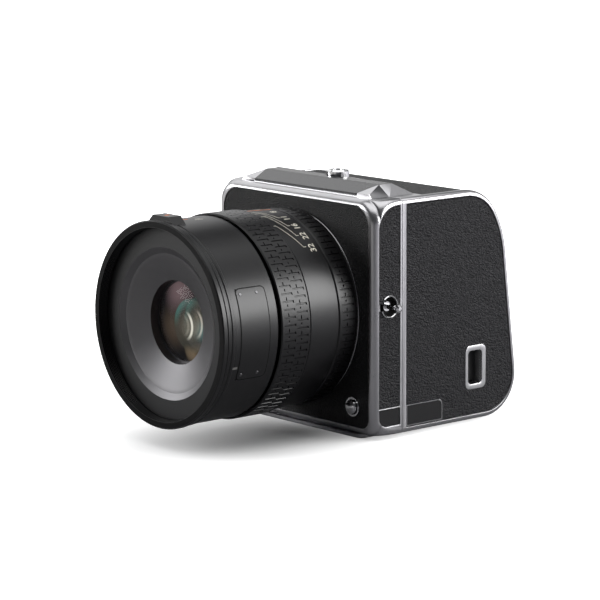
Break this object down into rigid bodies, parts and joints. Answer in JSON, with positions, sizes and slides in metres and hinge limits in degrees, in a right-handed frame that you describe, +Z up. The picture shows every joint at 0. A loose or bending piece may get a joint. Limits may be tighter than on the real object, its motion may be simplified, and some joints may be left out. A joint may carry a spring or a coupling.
{
  "type": "medium format digital camera",
  "caption": "Box-shaped camera body with a detachable digital back, a leaf shutter lens with turning rings, an opening side door and a tilting rear screen.",
  "frame": {"origin": "mouth of the tripod thread, in the middle of the base plate's underside", "axes": "+Z up, -Y the way the lens looks, +X the side with the opening door"},
  "size_m": [0.102, 0.1446, 0.0965],
  "materials": {
    "satin_chrome": "satin silver plated metal",
    "bright_chrome": "bright turned silver plating",
    "black_leather": "pebbled black covering",
    "black_anodised": "satin black anodised aluminium",
    "dark_plate": "satin dark grey",
    "steel": "turned steel",
    "black_plastic": "matt black",
    "board": "green circuit board",
    "coated_glass": "coated optical glass",
    "display_glass": "black display glass",
    "sensor": "dark sensor with cover glass",
    "battery_grey": "grey battery case"
  },
  "bodies": {
    "camera": {"body_frame": "satin_chrome", "front_leather": "black_leather", "side_leathers": "black_leather", "body_tag_plate": "dark_plate", "mount_ring": "bright_chrome", "contact_block": "black_plastic", "strap_studs": "steel", "base_plate": "satin_chrome", "tripod_bush": "steel", "name_plate": "dark_plate", "button_collars": "bright_chrome", "back_shell": "satin_chrome", "back_rib": "dark_plate", "back_leathers": "black_leather", "sensor_unit": "sensor", "main_board": "board", "battery_bay": "black_plastic", "battery": "battery_grey", "card_slot": "black_plastic", "port_block": "black_plastic", "hinge_pins": "steel", "screen_hinge_bracket": "steel", "rear_bezel": "black_anodised", "lens_bayonet": "steel", "lens_core": "black_anodised", "scale_ring": "black_anodised", "front_barrel": "black_anodised", "badge_plate": "dark_plate", "name_ring": "dark_plate", "cone_baffle": "black_anodised", "front_glass": "coated_glass", "inner_glasses": "coated_glass", "iris_blades": "black_plastic"},
    "focus_sleeve_body": {"focus_sleeve": "black_anodised"},
    "focus_ring_body": {"focus_ring": "black_anodised"},
    "control_ring_body": {"control_ring": "black_anodised"},
    "focus_group": {"focus_cell": "black_anodised", "focus_glass": "coated_glass"},
    "lens_release": {"lens_release_button": "bright_chrome", "lens_lock_pin": "steel"},
    "shutter": {"shutter_button": "bright_chrome"},
    "control_wheel_body": {"control_wheel": "black_anodised"},
    "back_latch": {"latch_knob": "bright_chrome"},
    "side_door_body": {"side_door": "satin_chrome", "door_leather": "black_leather", "recess_ring": "bright_chrome", "back_tag_plate": "dark_plate"},
    "door_latch": {"door_latch_slider": "black_plastic"},
    "screen": {"screen_frame": "black_anodised", "screen_glass": "display_glass"},
    "port_cover_body": {"port_cover": "black_plastic"},
    "rear_button_body_1": {"rear_button_1": "black_plastic"},
    "rear_button_body_2": {"rear_button_2": "black_plastic"},
    "rear_button_body_3": {"rear_button_3": "black_plastic"},
    "rear_button_body_4": {"rear_button_4": "black_plastic"},
    "rear_button_body_5": {"rear_button_5": "black_plastic"}
  },
  "joints": [
    {"name": "focus_turn", "type": "hinge", "parent": "camera", "child": "focus_sleeve_body", "pos_m": [0, -0.03, 0.0465], "axis": [0, -1, 0], "range_deg": [-60, 60]},
    {"name": "focus_clutch", "type": "slide", "parent": "focus_sleeve_body", "child": "focus_ring_body", "axis": [0, -1, 0], "range_m": [0, 0.005]},
    {"name": "control_turn", "type": "hinge", "parent": "camera", "child": "control_ring_body", "pos_m": [0, -0.03, 0.0465], "axis": [0, -1, 0], "continuous": true},
    {"name": "focus_travel", "type": "slide", "parent": "camera", "child": "focus_group", "axis": [0, -1, 0], "range_m": [-0.0015, 0.0015]},
    {"name": "lens_release_press", "type": "slide", "parent": "camera", "child": "lens_release", "axis": [0, 1, 0], "range_m": [0, 0.0015], "stiffness_N_per_m": 800, "springref_m": -0.001},
    {"name": "shutter_press", "type": "slide", "parent": "camera", "child": "shutter", "axis": [0, 1, 0], "range_m": [0, 0.0012], "stiffness_N_per_m": 700, "springref_m": -0.0008},
    {"name": "wheel_turn", "type": "hinge", "parent": "camera", "child": "control_wheel_body", "pos_m": [-0.0323, -0.03, 0.0129], "axis": [0, -1, 0], "continuous": true},
    {"name": "back_latch_slide", "type": "slide", "parent": "camera", "child": "back_latch", "axis": [1, 0, 0], "range_m": [0, 0.004]},
    {"name": "side_door_hinge", "type": "hinge", "parent": "camera", "child": "side_door_body", "pos_m": [0.04365, -0.0121, 0.046], "axis": [0, 0, -1], "range_deg": [0, 95]},
    {"name": "door_latch_slide", "type": "slide", "parent": "side_door_body", "child": "door_latch", "axis": [0, 1, 0], "range_m": [0, 0.003]},
    {"name": "screen_tilt", "type": "hinge", "parent": "camera", "child": "screen", "pos_m": [0, 0.04077, 0.07157], "axis": [1, 0, 0], "range_deg": [0, 90]},
    {"name": "port_cover_hinge", "type": "hinge", "parent": "camera", "child": "port_cover_body", "pos_m": [-0.0443, 0.0059, 0.0285], "axis": [0, 0, 1], "range_deg": [0, 100]},
    {"name": "rear_button_press_1", "type": "slide", "parent": "camera", "child": "rear_button_body_1", "axis": [0, -0.993, -0.1184], "range_m": [0, 0.0007], "stiffness_N_per_m": 500, "springref_m": -0.0008},
    {"name": "rear_button_press_2", "type": "slide", "parent": "camera", "child": "rear_button_body_2", "axis": [0, -0.993, -0.1184], "range_m": [0, 0.0007], "stiffness_N_per_m": 500, "springref_m": -0.0008},
    {"name": "rear_button_press_3", "type": "slide", "parent": "camera", "child": "rear_button_body_3", "axis": [0, -0.993, -0.1184], "range_m": [0, 0.0007], "stiffness_N_per_m": 500, "springref_m": -0.0008},
    {"name": "rear_button_press_4", "type": "slide", "parent": "camera", "child": "rear_button_body_4", "axis": [0, -0.993, -0.1184], "range_m": [0, 0.0007], "stiffness_N_per_m": 500, "springref_m": -0.0008},
    {"name": "rear_button_press_5", "type": "slide", "parent": "camera", "child": "rear_button_body_5", "axis": [0, -0.993, -0.1184], "range_m": [0, 0.0007], "stiffness_N_per_m": 500, "springref_m": -0.0008}
  ],
  "couplings": [
    {"joint": "focus_travel", "follows": "focus_turn", "m_per_rad": 0.0014324}
  ]
}
